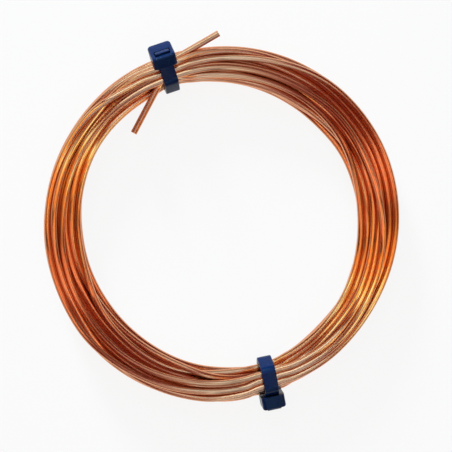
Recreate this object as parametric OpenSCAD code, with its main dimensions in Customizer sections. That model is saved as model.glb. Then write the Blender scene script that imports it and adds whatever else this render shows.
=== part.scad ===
/* [Wire] */
// Diameter of the bare copper wire (16 gauge)
wire_d = 1.29; // [1:0.01:1.7]
// Overlap of neighbouring turns, as a share of the wire, that joins them into one solid
turn_press = 0.03; // [0.02:0.005:0.06]

/* [Coil] */
// Outer diameter over the turns
coil_d = 72; // [64:0.1:110]
// Turns in the bottom row
row_1 = 4; // [3:1:6]
// Turns in the second row
row_2 = 5; // [4:1:7]
// Turns in the third row
row_3 = 4; // [3:1:6]
// Turns in the top row
row_4 = 3; // [2:1:5]

/* [Wire ends] */
// Length of the outer end, from the middle of its tie to the tip
tail_1_len = 12.5; // [6:0.1:18]
// Angle at which the outer end leaves the turns, away from the coil
tail_1_flare = 8.5; // [7:0.5:20]
// Climb of the outer end above level
tail_1_rise = 2; // [0:0.5:8]
// Length of the inner end, from the middle of its tie to the tip
tail_2_len = 13.2; // [8:0.1:20]
// Angle at which the inner end leaves the turns, towards the eye
tail_2_flare = 39; // [25:1:45]
// Climb of the inner end above level
tail_2_rise = 6; // [3:0.5:10]
// Radius of the bend, at the middle of the wire, that turns the inner end inwards
tail_2_bend = 5; // [4:0.5:9]

/* [Cable ties] */
// Width of the strap
strap_w = 2.9; // [2:0.1:3.4]
// Thickness of the strap
strap_t = 1; // [0.7:0.05:1.2]
// Clearance between the strap and the turns
strap_gap = 0.1; // [0.05:0.01:0.3]
// Angle of the first tie round the coil
tie_1_az = 110.3; // [90:0.1:130]
// Turn of the first strap away from square to the wire
tie_1_slant = -2; // [-8:0.5:8]
// Height angle of the first head on the turns, from outwards (0) to upwards (90)
tie_1_lift = 38; // [10:1:45]
// Distance of the first head's middle down the outer side
tie_1_drop = 0.4; // [0:0.1:1.5]
// Angle of the second tie round the coil
tie_2_az = -73.7; // [-90:0.1:-60]
// Turn of the second strap away from square to the wire
tie_2_slant = -5; // [-8:0.5:8]
// Height angle of the second head on the turns
tie_2_lift = -5; // [-6:1:40]
// Distance of the second head's middle down the outer side
tie_2_drop = 0; // [0:0.1:0.4]

/* [Tie heads] */
// Width of a head, along the wire
head_w = 4.8; // [4:0.1:6]
// Length of a head, along the strap
head_l = 4.9; // [4:0.1:5.5]
// Height of a head above the turns
head_h = 2.7; // [2.4:0.1:4]
// Radius of a head's upright corners
head_r = 0.6; // [0.3:0.05:0.9]
// Bevel round a head's outer face
head_bevel = 0.5; // [0.2:0.05:0.7]
// Clearance between the strap's end and its slot in the head
slot_gap = 0.15; // [0.1:0.05:0.3]
// Distance of the slot from the middle of the head, towards the top of the coil
slot_shift = 0.8; // [0:0.1:1.1]
// Height of the cut end of the strap above its head
stub_h = 0.4; // [0:0.1:3]

/* [Hidden] */
$fn = 96;
// Depth by which pieces of one tie run into each other, so they join
joint_in = strap_t / 20;

// Rows of turns nest as in a stack of pipes: every second row is shifted by half a pitch.
rows = [row_1, row_2, row_3, row_4];
pitch = wire_d * (1 - turn_press);
row_h = pitch * sqrt(3) / 2;
function first(i) = -(rows[i] - 1) - (rows[i] + i) % 2;
function last(i) = first(i) + 2 * (rows[i] - 1);
function row_x(i, k) = (first(i) + 2 * k) * pitch / 2;
row_z = [for (i = [0 : 3]) strap_t + strap_gap + wire_d / 2 + i * row_h];

// The turns' middle is the part's local zero in the section, which is drawn as [radius, height].
reach_out = max([for (i = [0 : 3]) last(i)]) * pitch / 2;
mid_r = coil_d / 2 - wire_d / 2 - reach_out;
mid_z = (row_z[0] + row_z[3]) / 2;
ends = [for (i = [0 : 3], k = [0, rows[i] - 1]) [row_x(i, k), row_z[i]]];

// Furthest reach of the turns' centres from the section's middle in direction a
function reach(a) = max([for (p = ends) p.x * cos(a) + (p.y - mid_z) * sin(a)]);

// Section of the turns: one circle each, and the solid middle between their centres
module turns_section() {
    for (i = [0 : 3], k = [0 : rows[i] - 1])
        translate([mid_r + row_x(i, k), row_z[i]]) circle(d = wire_d);
    for (i = [0 : 2]) {
        low = max(first(i), first(i + 1) - 1);
        high = min(last(i), last(i + 1) + 1);
        up_low = max(first(i + 1), low - 1);
        up_high = min(last(i + 1), high + 1);
        translate([mid_r, 0]) polygon([
            [low * pitch / 2, row_z[i]], [high * pitch / 2, row_z[i]],
            [up_high * pitch / 2, row_z[i + 1]], [up_low * pitch / 2, row_z[i + 1]]]);
    }
}

// Outer end: a straight length that leaves the third row on the outer side, clockwise
module tail_1() {
    rotate([0, 0, tie_1_az])
        translate([mid_r + row_x(2, rows[2] - 1) - 0.3 * wire_d, 0, row_z[2]])
            rotate([90 - tail_1_rise, 0, tail_1_flare])
                cylinder(d = wire_d, h = tail_1_len);
}

// Inner end: bends off the third row, passes over the turns below it and stops in the eye
module tail_2() {
    bend_l = tail_2_bend * tail_2_flare * PI / 180;
    rotate([0, 0, tie_1_az])
        translate([mid_r + row_x(2, 0) + 0.5 * wire_d - tail_2_bend, 0, row_z[2] + 0.05 * wire_d])
            rotate([tail_2_rise, 0, 0]) {
                rotate_extrude(angle = tail_2_flare)
                    translate([tail_2_bend, 0]) circle(d = wire_d);
                rotate([0, 0, tail_2_flare])
                    translate([tail_2_bend, 0, 0])
                        rotate([-90, 0, 0])
                            cylinder(d = wire_d, h = tail_2_len - bend_l);
            }
}

// The whole coil of wire, one length from end to end
module wire() {
    color("peru") {
        rotate_extrude() turns_section();
        tail_1();
        tail_2();
    }
}

// Room that a flat piece of width w needs on either side of the turns when it is turned by slant
function skew(w, slant) = w / 2 * abs(sin(slant));

// Outline round all the turns at a distance, for a strap that is turned by slant
module wrap(distance, slant) {
    hull()
        for (p = ends)
            translate([p.x / cos(slant) + sign(p.x) * skew(strap_w, slant), p.y])
                circle(d = wire_d + 2 * distance, $fn = 48);
}

// Plan of a head with round corners, less an inset
module head_plan(inset) {
    x = head_l / 2 - head_r;
    y = head_w / 2 - head_r;
    for (p = [[x, y], [-x, y], [-x, -y], [x, -y]])
        translate(p) circle(r = head_r - inset, $fn = 32);
}

// Head block: length along X, width along Y and height along Z, with a bevelled outer face
module head_block() {
    hull() {
        linear_extrude(head_h - head_bevel) head_plan(0);
        linear_extrude(head_h) head_plan(min(head_bevel, 0.85 * head_r));
    }
}

// Closed strap with its head. The free end comes out of the slot in the head and is cut off.
module tie(az, slant, lift, drop) {
    slot_l = strap_t + 2 * slot_gap;
    slot_w = strap_w + 2 * slot_gap;
    color("midnightblue")
        rotate([0, 0, az]) translate([mid_r, 0, 0]) rotate([0, 0, slant]) {
            rotate([90, 0, 0])
                linear_extrude(strap_w, center = true)
                    difference() {
                        wrap(strap_gap + strap_t, slant);
                        wrap(strap_gap, slant);
                    }
            translate([0, 0, mid_z]) rotate([0, -lift, 0])
                translate([reach(lift) + wire_d / 2 + strap_gap + skew(head_w, slant), 0, -drop])
                    rotate([0, 90, 0]) {
                        difference() {
                            head_block();
                            translate([-slot_shift - slot_l / 2, -slot_w / 2, strap_t + joint_in])
                                cube([slot_l, slot_w, head_h]);
                        }
                        translate([-slot_shift - strap_t / 2, -strap_w / 2, joint_in])
                            cube([strap_t, strap_w, head_h + stub_h - joint_in]);
                    }
        }
}

module tie_1() {
    tie(tie_1_az, tie_1_slant, tie_1_lift, tie_1_drop);
}

module tie_2() {
    tie(tie_2_az, tie_2_slant, tie_2_lift, tie_2_drop);
}

wire();
tie_1();
tie_2();
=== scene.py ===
import math

import bmesh
import bpy
import numpy as np
from mathutils import Matrix, Vector
from mathutils.geometry import convex_hull_2d


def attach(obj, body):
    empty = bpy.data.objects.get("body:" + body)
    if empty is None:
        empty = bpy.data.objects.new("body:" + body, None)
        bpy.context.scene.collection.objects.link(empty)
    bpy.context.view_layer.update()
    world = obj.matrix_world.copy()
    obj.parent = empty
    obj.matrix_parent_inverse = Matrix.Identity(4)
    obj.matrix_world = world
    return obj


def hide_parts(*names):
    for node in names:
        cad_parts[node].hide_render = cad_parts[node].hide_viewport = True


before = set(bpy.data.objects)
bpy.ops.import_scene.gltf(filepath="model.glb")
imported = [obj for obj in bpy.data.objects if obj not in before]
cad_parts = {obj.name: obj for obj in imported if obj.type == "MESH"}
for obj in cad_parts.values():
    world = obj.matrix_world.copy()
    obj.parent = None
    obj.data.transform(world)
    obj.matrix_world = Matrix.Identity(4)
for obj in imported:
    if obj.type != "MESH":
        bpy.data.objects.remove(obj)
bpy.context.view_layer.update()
mm = 0.001


def addObject(name, data):
    added = bpy.data.objects.new(name, data)
    bpy.context.scene.collection.objects.link(added)
    return added


def wayTo(azimuth, elevation):
    # unit vector from the origin, with the azimuth counted from +X
    a, e = math.radians(azimuth), math.radians(elevation)
    return Vector((math.cos(a) * math.cos(e), math.sin(a) * math.cos(e), math.sin(e)))


camera = {
    "distance": 0.42,
    "azimuth": 143.0,      # side that the camera leans towards
    "elevation": 81.5,
    "lens": 165.0,
    "clip": (0.01, 20),
    "aim": (0.0006, -0.0004, 0.003),
}


def makeCamera(s):
    # the coil's +Y points up in the view
    away = wayTo(s["azimuth"], s["elevation"])
    right = (-away).cross(Vector((0, 1, 0))).normalized()
    above = right.cross(-away)
    data = bpy.data.cameras.new("camera")
    data.lens = s["lens"]
    data.clip_start, data.clip_end = s["clip"]
    holder = addObject("camera", data)
    turn = Matrix((right, above, away)).transposed().to_4x4()
    holder.matrix_world = Matrix.Translation(Vector(s["aim"]) + away * s["distance"]) @ turn
    bpy.context.scene.camera = holder


makeCamera(camera)
bpy.context.scene.view_settings.view_transform = "Standard"
print("camera made")


# Lengths of the coil and its ties are in mm, and angles in degrees.
# A tie has the angle of its place round the coil, the turn of its strap away from square to the
# wire, the height angle of its head on the turns, and how far the head hangs below that.
ties = {
    "tie_1": {"azimuth": 110.3, "slant": -2.0, "lift": 38.0, "drop": 0.4},
    "tie_2": {"azimuth": -73.7, "slant": -5.0, "lift": -5.0, "drop": 0.0},
}

wire = {
    "diameter": 1.29,
    "turns": 15,
    "perTurn": 180,        # points in one turn
    "sides": 8,            # of the round section: twice this and four
    "middle": 32.85,       # radius of the turns' middle
    "floor": 1.745,        # height of the lowest row under the ties
    "packing": 0.985,      # rows at the ties, as a share of touching
    # places under tie 1 in the order that the wire takes them: steps of one wire from the middle
    # of the width, and row
    "places": [(1.5, 2), (2, 1), (1.5, 0), (0.5, 0), (1, 1), (0.5, 2), (1, 3), (0, 3), (-1, 3),
               (-0.5, 2), (0, 1), (-0.5, 0), (-1.5, 0), (-1, 1), (-2, 1), (-1.5, 2)],
    # angle from +X, inner radius, outer radius
    "outline": [(0, 27.3, 36.1), (30, 27.8, 36.4), (60, 27.5, 36.2), (90, 28.7, 35.9),
                (110, 29.65, 36.05), (120, 29.4, 36.0), (150, 29.8, 36.0), (180, 28.5, 36.2),
                (210, 27.9, 36.2), (240, 28.2, 36.6), (270, 29.6, 36.3), (286.5, 29.65, 36.05),
                (310, 28.8, 35.4), (330, 28.4, 35.4), (350, 27.6, 35.9)],
    "outlineSoftness": 12,     # passes that smooth the outline between its angles
    # gaps that open between groups of turns: angle, spread, place across the width, share of it
    "gaps": [(82, 22, 0.60, 0.15), (5, 30, 0.27, 0.09), (215, 35, 0.35, 0.08), (150, 18, 0.55, 0.08)],
    "gapSharpness": 40,
    "seed": 13,
    "wander": 0.11,        # of a turn across the width, as a share of the width
    "uneven": 0.02,        # scatter of the heights that the winding starts from
    "heightWeight": 0.9,   # of the height in the order of the turns across the width
    "height": 3.25,        # middle height of the loose turns
    "lowest": 0.75,        # nothing sinks below this
    "pull": 0.012,         # share of the way to its place that a loose turn is drawn in each pass
    "tiePull": 0.5,        # share that is added under a tie
    "upPull": 0.8,         # how much of these shares goes for the height
    "tieSpread": 9,        # how far on either side a tie draws the turns together
    "push": 0.45,          # share of an overlap by which each of two turns gives way
    # passes with the pull, then without: count, times and weight of the smoothing, pushes in each
    "winding": (260, 2, 1.0, 3),
    "settling": (30, 1, 0.6, 6),
    "gripStart": 3.0,      # angle from a tie up to which it holds the turns fully,
    "gripEnd": 9.0,        # and from which they are loose
    # free ends: length from the tie's middle, straight lead under the strap, angle, climb, bend
    "firstTail": {"length": 12.5, "lead": 1.2, "flare": 9.5, "rise": 2.0, "bend": 12.0},
    "lastTail": {"length": 13.2, "lead": 1.3, "flare": 41.0, "rise": 6.0, "bend": 3.0},
    "tailStep": 0.25,      # length between the points of a free end
    "tailEasing": 2,       # length over which the climb of a free end sets in
}


def ease(share):
    return share * share * (3 - 2 * share)


def nearAngle(angles, centre, spread):
    off = (angles - centre + 180) % 360 - 180
    return np.exp(-(off / spread) ** 2)


def smoothLine(line, passes, weight):
    for _ in range(passes):
        soft = line.copy()
        soft[1:-1] = (line[:-2] + 2 * line[1:-1] + line[2:]) / 4
        line = line * (1 - weight) + soft * weight
    return line


def ringValues(angles, values, at, passes):
    # closed curve through the values, smoothed
    a = np.array(angles, float)
    a = np.concatenate([a - 360, a, a + 360])
    ring = np.interp(at % 360, a, np.tile(np.array(values, float), 3))
    for _ in range(passes):
        ring = (np.roll(ring, 1) + 2 * ring + np.roll(ring, -1)) / 4
    return ring


def ringLimits(s, start):
    # least and greatest offset of a turn's centre from the turns' middle, at each section
    at = start + np.arange(s["perTurn"]) * (360 / s["perTurn"])
    angles, inner, outer = zip(*s["outline"])
    low = ringValues(angles, inner, at, s["outlineSoftness"]) - s["middle"] + s["diameter"] / 2
    high = ringValues(angles, outer, at, s["outlineSoftness"]) - s["middle"] - s["diameter"] / 2
    return low, high


def tailLine(s, radius, height, way, tail):
    # a free end from its tie at azimuth 0: way -1 leaves clockwise and outwards, 1 the other way
    # and inwards; it leaves the strap straight, bends by the flare and runs straight again
    lead, bend, flare = tail["lead"], tail["bend"], math.radians(tail["flare"])
    run = np.linspace(0, tail["length"], int(tail["length"] / s["tailStep"]) + 1)
    out = np.maximum(run - lead, 0)
    turned = np.minimum(out / bend, flare)
    straight = np.maximum(out - bend * flare, 0)
    side = bend * (1 - np.cos(turned)) + straight * math.sin(flare)
    along = np.minimum(run, lead) + bend * np.sin(turned) + straight * math.cos(flare)
    climb = out * math.sin(math.radians(tail["rise"])) * (1 - np.exp(-out / s["tailEasing"]))
    return np.stack([radius - way * side, way * along, height + climb], 1)


def tailSections(s, line, row, way):
    # row, section, offset and height of a free end wherever it passes a section of the turns
    step = 360 / s["perTurn"]
    around = np.degrees(np.arctan2(line[:, 1], line[:, 0])) * way
    found = []
    for k in range(1, int(around.max() / step) + 1):
        radius = np.interp(k * step, around, np.hypot(line[:, 0], line[:, 1]))
        height = np.interp(k * step, around, line[:, 2])
        found.append((row, (k * way) % s["perTurn"], radius - s["middle"], height))
    return found


def pushApart(s, x, z, tails, passes):
    # in each section, turns whose centres are closer than one wire give way; the free ends don't
    rows, d = s["turns"] + 2, s["diameter"]
    inside = slice(s["perTurn"], s["perTurn"] + len(x))
    tailRow, tailSection = tails[:, 0].astype(int), tails[:, 1].astype(int)
    gridX = np.full((rows, s["perTurn"]), np.nan)
    gridZ = np.full((rows, s["perTurn"]), np.nan)
    for _ in range(passes):
        gridX.flat[inside], gridZ.flat[inside] = x, z
        gridX[tailRow, tailSection], gridZ[tailRow, tailSection] = tails[:, 2], tails[:, 3]
        dx = gridX[:, None, :] - gridX[None, :, :]
        dz = gridZ[:, None, :] - gridZ[None, :, :]
        gap = np.sqrt(dx * dx + dz * dz) + 1e-9      # never 0, because it divides
        push = np.where(gap < d, (d - gap) / gap * s["push"], 0.0)
        push[np.isnan(push)] = 0
        push[np.arange(rows), np.arange(rows), :] = 0
        x = x + np.nansum(push * dx, axis=1).flat[inside]
        z = np.maximum(z + np.nansum(push * dz, axis=1).flat[inside], s["lowest"])
    return x, z


def windWire(s):
    # Lays the turns side by side: each is drawn to its own place across the width,
    # kept smooth along the wire, and pushed off the others wherever they touch.
    rng = np.random.default_rng(s["seed"])
    per, turns = s["perTurn"], s["turns"]
    start = ties["tie_1"]["azimuth"]
    second = (ties["tie_2"]["azimuth"] - start) % 360      # tie 2, counted from tie 1
    turn, section = np.divmod(np.arange(turns * per + 1), per)
    angle = section * (360 / per)
    low, high = (limit[section] for limit in ringLimits(s, start))
    places = np.array(s["places"], float)
    placeX = places[:, 0] * s["diameter"] * s["packing"]
    placeZ = s["floor"] + places[:, 1] * s["diameter"] * math.sqrt(3) / 2 * s["packing"]

    # a turn keeps its place from tie 1 to tie 2 and moves to its next one on the way back
    move = ease(np.clip((angle - second) / (360 - second), 0, 1))
    nextTurn = np.minimum(turn + 1, turns)

    def between(values):
        return values[turn] * (1 - move) + values[nextTurn] * move

    # rank is the place across the width away from the ties, from 0 inside to 1 outside
    held = np.maximum(nearAngle(angle, 0, s["tieSpread"]), nearAngle(angle, second, s["tieSpread"]))
    order = placeX + s["heightWeight"] * (placeZ - placeZ.mean())
    rank = between(np.argsort(np.argsort(order)) / turns)
    wander = np.zeros(len(angle))
    for wave in (1, 2, 3):
        phase = rng.uniform(0, 2 * np.pi, turns + 1)
        size = rng.normal(0, s["wander"] / wave, turns + 1)
        wander += np.sin(wave * np.radians(angle) + phase[turn]) * size[turn]
    rank = np.clip(rank + wander * (1 - held), 0, 1)
    for centre, spread, at, share in s["gaps"]:
        opened = share * nearAngle(start + angle, centre, spread)
        rank = rank * (1 - opened) + opened / (1 + np.exp(-(rank - at) * s["gapSharpness"]))
    targetX = between(placeX) * held + (low + rank * (high - low)) * (1 - held)
    targetZ = between(placeZ) * held + s["height"] * (1 - held)

    firstLine = tailLine(s, s["middle"] + placeX[0], placeZ[0], -1, s["firstTail"])
    lastLine = tailLine(s, s["middle"] + placeX[-1], placeZ[-1], 1, s["lastTail"])
    tails = np.array(tailSections(s, firstLine, 0, -1) + tailSections(s, lastLine, turns + 1, 1))

    pull = s["pull"] + s["tiePull"] * held ** 2
    x, z = targetX.copy(), between(placeZ) + rng.normal(0, s["uneven"], len(angle))
    count, times, weight, pushes = s["winding"]
    for _ in range(count):
        x = smoothLine(x + pull * (targetX - x), times, weight)
        z = smoothLine(z + s["upPull"] * pull * (targetZ - z), times, weight)
        x, z = pushApart(s, np.clip(x, low, high), z, tails, pushes)
    count, times, weight, pushes = s["settling"]
    for _ in range(count):
        x, z = smoothLine(x, times, weight), smoothLine(z, times, weight)
        x, z = pushApart(s, x, z, tails, pushes)

    # inside a strap every turn lies in its place
    off = np.minimum(np.minimum(angle, 360 - angle), np.abs(angle - second))
    grip = ease(np.clip((s["gripEnd"] - off) / (s["gripEnd"] - s["gripStart"]), 0, 1))
    x = x * (1 - grip) + between(placeX) * grip
    z = z * (1 - grip) + between(placeZ) * grip

    radius = s["middle"] + x
    turned = np.stack([radius * np.cos(np.radians(angle)), radius * np.sin(np.radians(angle)), z], 1)
    firstLine += turned[0] - firstLine[0]
    lastLine += turned[-1] - lastLine[0]
    line = np.concatenate([firstLine[:0:-1], turned, lastLine[1:]])
    cosine, sine = math.cos(math.radians(start)), math.sin(math.radians(start))
    line = np.stack([line[:, 0] * cosine - line[:, 1] * sine,
                     line[:, 0] * sine + line[:, 1] * cosine, line[:, 2]], 1)
    return line * mm


def makeWireMesh(s, route):
    # a round tube along the route, with both cut ends closed
    curve = bpy.data.curves.new("wireCurve", "CURVE")
    curve.dimensions = "3D"
    curve.twist_mode = "Z_UP"
    curve.bevel_depth = s["diameter"] / 2 * mm
    curve.bevel_resolution = s["sides"]
    curve.use_fill_caps = True
    spline = curve.splines.new("POLY")
    spline.points.add(len(route) - 1)
    spline.points.foreach_set("co", np.concatenate([route, np.ones((len(route), 1))], 1).ravel())
    spline.use_smooth = True
    holder = addObject("wireCurve", curve)
    depsgraph = bpy.context.evaluated_depsgraph_get()
    mesh = bpy.data.meshes.new_from_object(holder.evaluated_get(depsgraph))
    bpy.data.objects.remove(holder)
    welded = bmesh.new()
    welded.from_mesh(mesh)
    bmesh.ops.remove_doubles(welded, verts=welded.verts[:], dist=0.001 * mm)
    for face in welded.faces:
        face.smooth = len(face.verts) == 4
    for edge in welded.edges:
        edge.smooth = all(face.smooth for face in edge.link_faces)
    welded.to_mesh(mesh)
    welded.free()
    return mesh


route = windWire(wire)

wireObject = addObject("copperWire", makeWireMesh(wire, route))
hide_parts("wire")
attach(wireObject, "root")
print("wire made,", len(wireObject.data.polygons), "faces")


tieShape = {
    "press": 0.97,         # turns under a tie, centre to centre, as a share of touching
    "rowReach": (1.5, 2, 1.5, 1),      # outermost turn of each row from the lowest, in such steps
    "strapWidth": 2.9,
    "strapThick": 1.0,
    "strapGap": 0.1,
    "strapSides": 48,      # of the full circle that its bends are part of
    "headWidth": 4.8,
    "headLength": 4.9,
    "headHeight": 2.7,
    "slotLength": 1.5,
    "slotWidth": 3.2,
    "slotShift": 0.8,
    "slotDepth": 1.6,
    "stubHeight": 0.4,     # above the head
    "stubFoot": 0.6,       # height inside the head at which the stub starts
    "stubShift": 0.1,      # beyond the slot's middle
    "stubSlant": 0.22,     # the cutters leave a slanted end
    # rounding of edges: size and segments
    "strapRound": (0.22, 3),
    "cornerRound": (0.75, 5),      # upright corners of the head
    "faceRound": (0.45, 4),        # edge of its outer face
    "slotRound": (0.12, 2),
    "stubRound": (0.1, 2),
    "sharpFrom": 50,       # angle between faces from which an edge is rounded
    "smoothBelow": 35,     # angle up to which an edge is shaded smooth
}


def makeBlock(size, middleX, middleZ):
    block = bmesh.new()
    place = Matrix.Translation((middleX, 0, middleZ))
    bmesh.ops.create_cube(block, size=1, matrix=place @ Matrix.Diagonal((*size, 1)))
    return block


def roundEdges(mesh, edges, size, segments):
    bmesh.ops.bevel(mesh, geom=edges, offset=size, segments=segments, profile=0.5,
                    affect="EDGES", material=-1)


def sharpEdges(s, mesh):
    sharp = math.radians(s["sharpFrom"])
    return [e for e in mesh.edges if len(e.link_faces) == 2 and e.calc_face_angle(0) > sharp]


def makeStrap(s, corners, slant):
    # a belt drawn tight round a circle at each corner, then thickened outwards
    pin = wire["diameter"] / 2 + s["strapGap"]
    half = s["strapWidth"] / 2
    skew = half * abs(math.sin(slant))
    circle = [2 * math.pi * k / s["strapSides"] for k in range(s["strapSides"])]
    points = [(x / math.cos(slant) + math.copysign(skew, x) + pin * math.cos(a), z + pin * math.sin(a))
              for x, z in corners for a in circle]
    outline = [points[k] for k in convex_hull_2d(points)]
    belt = bmesh.new()
    front = [belt.verts.new((x, -half, z)) for x, z in outline]
    back = [belt.verts.new((x, half, z)) for x, z in outline]
    for k in range(len(outline)):
        belt.faces.new((back[k - 1], back[k], front[k], front[k - 1]))
    belt.normal_update()
    bmesh.ops.dissolve_limit(belt, angle_limit=math.radians(1), verts=belt.verts[:],
                             edges=belt.edges[:])
    bmesh.ops.solidify(belt, geom=belt.faces[:], thickness=-s["strapThick"])
    bmesh.ops.recalc_face_normals(belt, faces=belt.faces[:])
    roundEdges(belt, sharpEdges(s, belt), *s["strapRound"])
    return belt


def makeHead(s):
    # the moulded block, lying with its outer face up, and its slot
    near = 0.01
    height = s["headHeight"]
    head = makeBlock((s["headLength"], s["headWidth"], height), 0, height / 2)
    upright = [e for e in head.edges if abs(e.verts[0].co.z - e.verts[1].co.z) > near]
    roundEdges(head, upright, *s["cornerRound"])

    def faceEdges():
        return [e for e in sharpEdges(s, head) if min(v.co.z for v in e.verts) > height - near]

    roundEdges(head, faceEdges(), *s["faceRound"])
    first = -s["slotShift"] - s["slotLength"] / 2
    half = s["slotWidth"] / 2
    cuts = [((first, 0, 0), (1, 0, 0)), ((first + s["slotLength"], 0, 0), (1, 0, 0)),
            ((0, -half, 0), (0, 1, 0)), ((0, half, 0), (0, 1, 0))]
    for point, normal in cuts:
        bmesh.ops.bisect_plane(head, geom=head.verts[:] + head.edges[:] + head.faces[:],
                               plane_co=point, plane_no=normal)
    mouth = [f for f in head.faces if f.normal.z > 0.9
             and abs(f.calc_center_median().x + s["slotShift"]) < near
             and abs(f.calc_center_median().y) < near]
    pushed = bmesh.ops.extrude_face_region(head, geom=mouth)
    down = [g for g in pushed["geom"] if isinstance(g, bmesh.types.BMVert)]
    bmesh.ops.translate(head, vec=(0, 0, -s["slotDepth"]), verts=down)
    bmesh.ops.delete(head, geom=[f for f in mouth if f.is_valid], context="FACES_ONLY")
    roundEdges(head, faceEdges(), *s["slotRound"])
    return head


def makeStub(s):
    # the cut end of the strap, standing in the slot
    height = s["headHeight"] + s["stubHeight"] - s["stubFoot"]
    middle = s["stubFoot"] + height / 2
    stub = makeBlock((s["strapThick"], s["strapWidth"], height), -s["slotShift"] - s["stubShift"], middle)
    for vert in stub.verts:
        if vert.co.z > middle and vert.co.x > -s["slotShift"]:
            vert.co.z -= s["stubSlant"]
    roundEdges(stub, sharpEdges(s, stub), *s["stubRound"])
    return stub


def makeTie(name, node, s):
    place = ties[node]
    slant, lift = math.radians(place["slant"]), math.radians(place["lift"])
    pitch = wire["diameter"] * s["press"]
    rowHeight = pitch * math.sqrt(3) / 2
    corners = [(side * steps * pitch, wire["floor"] + row * rowHeight)
               for row, steps in enumerate(s["rowReach"]) for side in (1, -1)]
    middle = wire["floor"] + (len(s["rowReach"]) - 1) / 2 * rowHeight
    reach = max(x * math.cos(lift) + (z - middle) * math.sin(lift) for x, z in corners)
    out = reach + wire["diameter"] / 2 + s["strapGap"] + s["headWidth"] / 2 * abs(math.sin(slant))
    onTurns = (Matrix.Rotation(math.radians(place["azimuth"]), 4, "Z")
               @ Matrix.Translation((wire["middle"], 0, 0)) @ Matrix.Rotation(slant, 4, "Z"))
    onSide = (onTurns @ Matrix.Translation((0, 0, middle)) @ Matrix.Rotation(-lift, 4, "Y")
              @ Matrix.Translation((out, 0, -place["drop"])) @ Matrix.Rotation(math.pi / 2, 4, "Y"))
    parts = [(makeStrap(s, corners, slant), onTurns), (makeHead(s), onSide), (makeStub(s), onSide)]
    whole = bmesh.new()
    for part, matrix in parts:
        bmesh.ops.transform(part, matrix=matrix, verts=part.verts[:])
        part.normal_update()
        carried = bpy.data.meshes.new("carried")
        part.to_mesh(carried)
        part.free()
        whole.from_mesh(carried)
        bpy.data.meshes.remove(carried)
    bmesh.ops.transform(whole, matrix=Matrix.Scale(mm, 4), verts=whole.verts[:])
    whole.normal_update()
    for face in whole.faces:
        face.smooth = True
    for edge in whole.edges:
        edge.smooth = edge.calc_face_angle(0) < math.radians(s["smoothBelow"])
    mesh = bpy.data.meshes.new(name)
    whole.to_mesh(mesh)
    whole.free()
    tie = addObject(name, mesh)
    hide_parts(node)
    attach(tie, "root")
    print(name, "made,", len(mesh.polygons), "faces")
    return tie


tieObjects = [makeTie("tieByEnds", "tie_1", tieShape), makeTie("tieOpposite", "tie_2", tieShape)]


def addNode(tree, kind, inputs=None, **settings):
    # each input is a plain value or the output of another node
    node = tree.nodes.new(kind)
    for name, value in settings.items():
        setattr(node, name, value)
    for name, value in (inputs or {}).items():
        if isinstance(value, bpy.types.NodeSocket):
            tree.links.new(value, node.inputs[name])
        else:
            node.inputs[name].default_value = value
    return node


def addMath(tree, operation, *values):
    return addNode(tree, "ShaderNodeMath", dict(enumerate(values)), operation=operation).outputs[0]


def addNoise(tree, place, noise, mapping=None):
    # the mapping may turn or stretch the place first
    if mapping:
        place = addNode(tree, "ShaderNodeMapping", {"Vector": place, **mapping}).outputs[0]
    return addNode(tree, "ShaderNodeTexNoise", {"Vector": place, **noise}).outputs["Fac"]


def addRange(tree, value, source, target=(0.0, 1.0)):
    # the source's two ends become the target's, and values outside stop there
    limits = {"From Min": source[0], "From Max": source[1], "To Min": target[0], "To Max": target[1]}
    return addNode(tree, "ShaderNodeMapRange", {"Value": value, **limits}).outputs[0]


def addMix(tree, share, first, second):
    # first where the share is 0, second where it is 1; each is a colour or a node's output
    first, second = ((*c, 1) if isinstance(c, tuple) else c for c in (first, second))
    inputs = {"Factor": share, "A": first, "B": second}
    return addNode(tree, "ShaderNodeMix", inputs, data_type="RGBA").outputs["Result"]


def addBump(tree, height, bump):
    return addNode(tree, "ShaderNodeBump", {"Height": height, **bump}).outputs[0]


def newMaterial(name):
    material = bpy.data.materials.new(name)
    material.use_nodes = True
    material.node_tree.nodes.clear()
    return material, material.node_tree


copper = {
    "color": (0.87, 0.40, 0.21),
    "darker": (0.66, 0.22, 0.08),
    "darkerFrom": (0.45, 0.75),        # values of the tone's noise over which it comes in,
    "darkerShare": (0.0, 0.5),         # and how much of it there is at either end
    "roughness": (0.16, 0.30),
    "roughnessFrom": (0.3, 0.7),       # the same for the noise of the lines
    "alongScale": 250.0,       # of both noises along the whole wire
    "lines": {"Scale": 4.0, "Detail": 3.0, "Roughness": 0.5},
    "lineStretch": {"Scale": (1, 1, 0.02)},
    "tone": {"Scale": 1.2, "Detail": 3.0},
    "toneStretch": {"Scale": (0.5, 0.5, 0.35)},
    "bump": {"Strength": 0.15, "Distance": 0.00002},
    # the lines spread a reflection round the wire and keep it sharp along it
    "shader": {"Metallic": 1.0, "Anisotropic": 0.9, "Anisotropic Rotation": 0.25},
}


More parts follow.
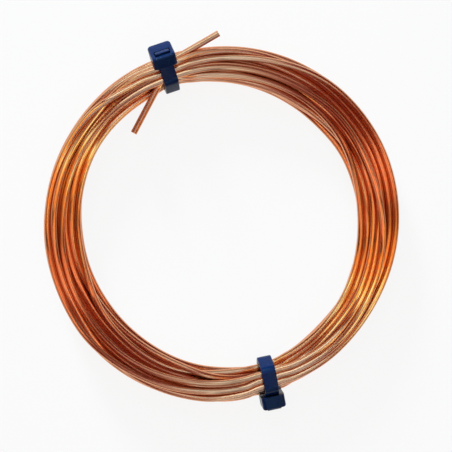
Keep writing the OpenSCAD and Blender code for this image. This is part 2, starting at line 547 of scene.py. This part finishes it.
def makeCopper(s):
    material, tree = newMaterial("drawnCopper")
    parts = addNode(tree, "ShaderNodeSeparateXYZ",
                    {"Vector": addNode(tree, "ShaderNodeTexCoord").outputs["UV"]})
    # the second coordinate goes once round the wire, so it becomes a circle
    turned = addMath(tree, "MULTIPLY", parts.outputs["Y"], 2 * math.pi)
    place = addNode(tree, "ShaderNodeCombineXYZ", {
        "X": addMath(tree, "COSINE", turned),
        "Y": addMath(tree, "SINE", turned),
        "Z": addMath(tree, "MULTIPLY", parts.outputs["X"], s["alongScale"]),
    }).outputs[0]
    lines = addNoise(tree, place, s["lines"], s["lineStretch"])      # left by the die, along the wire
    tone = addNoise(tree, place, s["tone"], s["toneStretch"])        # slow change along the wire
    darker = addRange(tree, tone, s["darkerFrom"], s["darkerShare"])
    shader = addNode(tree, "ShaderNodeBsdfPrincipled", {
        "Base Color": addMix(tree, darker, s["color"], s["darker"]),
        "Roughness": addRange(tree, lines, s["roughnessFrom"], s["roughness"]),
        "Normal": addBump(tree, lines, s["bump"]),
        "Tangent": addNode(tree, "ShaderNodeTangent", direction_type="UV_MAP").outputs[0],
        **s["shader"],
    })
    addNode(tree, "ShaderNodeOutputMaterial", {"Surface": shader.outputs[0]})
    return material


nylon = {
    "color": (0.0008, 0.0125, 0.064),
    "paler": (0.004, 0.038, 0.14),
    "palerFrom": (0.55, 0.75),         # values of the scuffs' noise over which it comes in,
    "palerShare": (0.0, 0.45),         # and how much of it there is at either end
    "roughness": (0.14, 0.36),
    "roughnessFrom": (0.3, 0.7),       # the same for the cloudy noise
    "cloud": {"Scale": 420.0, "Detail": 3.0},
    "grain": {"Scale": 5200.0, "Detail": 3.0},
    "scuffs": {"Scale": 900.0, "Detail": 5.0, "Roughness": 0.65},
    "scuffStretch": {"Rotation": (0.3, 0.5, 0.7), "Scale": (1, 9, 2)},
    "bump": {"Strength": 0.3, "Distance": 0.00004},
    "shader": {"Specular IOR Level": 0.18},
}


def makeNylon(s):
    material, tree = newMaterial("blueNylon")
    place = addNode(tree, "ShaderNodeTexCoord").outputs["Object"]
    cloud = addNoise(tree, place, s["cloud"])
    grain = addNoise(tree, place, s["grain"])
    scuffs = addNoise(tree, place, s["scuffs"], s["scuffStretch"])
    paler = addRange(tree, scuffs, s["palerFrom"], s["palerShare"])
    shader = addNode(tree, "ShaderNodeBsdfPrincipled", {
        "Base Color": addMix(tree, paler, s["color"], s["paler"]),
        "Roughness": addRange(tree, cloud, s["roughnessFrom"], s["roughness"]),
        "Normal": addBump(tree, grain, s["bump"]),
        **s["shader"],
    })
    addNode(tree, "ShaderNodeOutputMaterial", {"Surface": shader.outputs[0]})
    return material


wireObject.data.materials.append(makeCopper(copper))
nylonMaterial = makeNylon(nylon)
for tie in tieObjects:
    tie.data.materials.append(nylonMaterial)
print("materials made")


studio = {
    # the room that the copper mirrors, by angle from +X and the same on both sides: angle, colour
    "walls": [(0, (0.01, 0.004, 0.002)), (6.5, (0.01, 0.004, 0.002)), (9, (1.90, 0.82, 0.45)),
              (14, (1.28, 0.57, 0.32)), (24, (1.97, 1.22, 0.90)), (28, (0.17, 0.003, 0.008)),
              (58, (0.17, 0.004, 0.013)), (68, (0.38, 0.20, 0.27)), (80, (0.70, 0.82, 0.94)),
              (92, (1.12, 2.00, 2.70)), (100, (0.08, 0.08, 0.14)), (112, (0.82, 1.36, 2.00)),
              (122, (0.24, 0.22, 0.34)), (134, (0.22, 0.004, 0.004)), (142, (0.44, 0.03, 0.01)),
              (148, (2.10, 3.70, 3.20)), (156, (2.00, 2.70, 0.60)), (160, (1.15, 0.16, 0.03)),
              (172, (1.90, 1.00, 0.16)), (175.5, (0.01, 0.004, 0.002))],
    "roomLean": (-0.0890, -0.1186, 0),     # its axis leans about as far as the camera does
    "sides": (0.055, 0.026, 0.016),        # what the walls fade to towards the floor
    "ceiling": (0.32, 0.24, 0.18),
    "shade": (0.035, 0.02, 0.015),         # low on the side towards +X
    "horizon": (0.94, 0.94, 0.94),         # pale backdrop behind the floor's far edge
    # heights between which each of them and the rest give way to one another
    "sidesFade": (0.25, 0.88),
    "ceilingFade": (0.985, 1.005),
    "shadeFade": (-0.25, 0.05),
    "horizonFade": (0.11, 0.125),
    # a lamp that isn't mirrored lights only the nylon and the floor; its beam is narrow, so that
    # the floor close to it stays as plain as the rest
    "lamps": {
        "coolLamp": {"azimuth": 110, "elevation": 42, "distance": 0.8, "size": 0.35, "spread": 180,
                     "power": 1.15, "color": (0.50, 0.86, 1.0), "mirrored": True},
        "matteLamp": {"azimuth": 112, "elevation": 14, "distance": 0.8, "size": 0.16, "spread": 30,
                      "power": 0.345, "color": (0.88, 0.95, 1.0), "mirrored": False},
    },
    "floorSize": 3.0,          # from the middle to each edge, in m
    "floorLevel": -0.02 * mm,
    "floorColor": (0.8, 0.8, 0.8),
    "floorWhite": 0.88,        # share of plain white that the eye and the metal see, over the shadow
}


def makeWorld(s):
    world = bpy.data.worlds.new("studioRoom")
    bpy.context.scene.world = world
    world.use_nodes = True
    tree = world.node_tree
    way = addNode(tree, "ShaderNodeTexCoord").outputs["Generated"]
    leaning = addNode(tree, "ShaderNodeMapping", {"Vector": way, "Rotation": s["roomLean"]}).outputs[0]
    around = addNode(tree, "ShaderNodeTexGradient", {"Vector": leaning}, gradient_type="RADIAL")
    halfTurns = addMath(tree, "MULTIPLY", around.outputs["Fac"], 2.0)
    ramp = addNode(tree, "ShaderNodeValToRGB", {"Fac": addMath(tree, "FRACT", halfTurns)})
    stops = ramp.color_ramp.elements
    zones = s["walls"] + [(180, s["walls"][0][1])]
    while len(stops) < len(zones):
        stops.new(0.5)
    for stop, (angle, color) in zip(stops, zones):
        stop.position = angle / 180
        stop.color = (*color, 1)
    plain = addNode(tree, "ShaderNodeSeparateXYZ", {"Vector": way}).outputs
    leaned = addNode(tree, "ShaderNodeSeparateXYZ", {"Vector": leaning}).outputs
    # the shade reaches up to the height of X, so it is missing on the other side
    overShade = addMath(tree, "SUBTRACT", plain["Z"], plain["X"])

    def blend(height, fade, lower, upper):
        return addMix(tree, addRange(tree, height, fade), lower, upper)

    room = blend(leaned["Z"], s["sidesFade"], s["sides"], ramp.outputs["Color"])
    room = blend(leaned["Z"], s["ceilingFade"], room, s["ceiling"])
    room = blend(overShade, s["shadeFade"], s["shade"], room)
    room = blend(plain["Z"], s["horizonFade"], s["horizon"], room)
    tree.links.new(room, tree.nodes["Background"].inputs["Color"])


def makeLamp(name, s):
    lamp = bpy.data.lights.new(name, "AREA")
    lamp.size = s["size"]
    lamp.spread = math.radians(s["spread"])
    lamp.energy = s["power"]
    lamp.color = s["color"]
    holder = addObject(name, lamp)
    holder.visible_glossy = s["mirrored"]
    way = wayTo(s["azimuth"], s["elevation"])
    holder.location = way * s["distance"]
    holder.rotation_mode = "QUATERNION"
    holder.rotation_quaternion = way.to_track_quat("Z", "Y")


def makeFloor(s):
    shape = bmesh.new()
    bmesh.ops.create_grid(shape, x_segments=1, y_segments=1, size=s["floorSize"],
                          matrix=Matrix.Translation((0, 0, s["floorLevel"])))
    mesh = bpy.data.meshes.new("studioFloor")
    shape.to_mesh(mesh)
    shape.free()
    floor = addObject("studioFloor", mesh)
    material, tree = newMaterial("paleFloor")
    matt = addNode(tree, "ShaderNodeBsdfPrincipled", {
        "Base Color": (*s["floorColor"], 1),
        "Roughness": 0.9,
        "Specular IOR Level": 0.0,
    })
    white = addNode(tree, "ShaderNodeEmission")
    ray = addNode(tree, "ShaderNodeLightPath").outputs
    seen = addMath(tree, "MAXIMUM", ray["Is Camera Ray"], ray["Is Glossy Ray"])
    seen = addMath(tree, "MAXIMUM", seen, ray["Is Transmission Ray"])
    share = addMath(tree, "MULTIPLY", seen, s["floorWhite"])
    mix = addNode(tree, "ShaderNodeMixShader", {"Fac": share, 1: matt.outputs[0], 2: white.outputs[0]})
    addNode(tree, "ShaderNodeOutputMaterial", {"Surface": mix.outputs[0]})
    mesh.materials.append(material)


makeWorld(studio)
for name, settings in studio["lamps"].items():
    makeLamp(name, settings)
makeFloor(studio)
print("studio made")
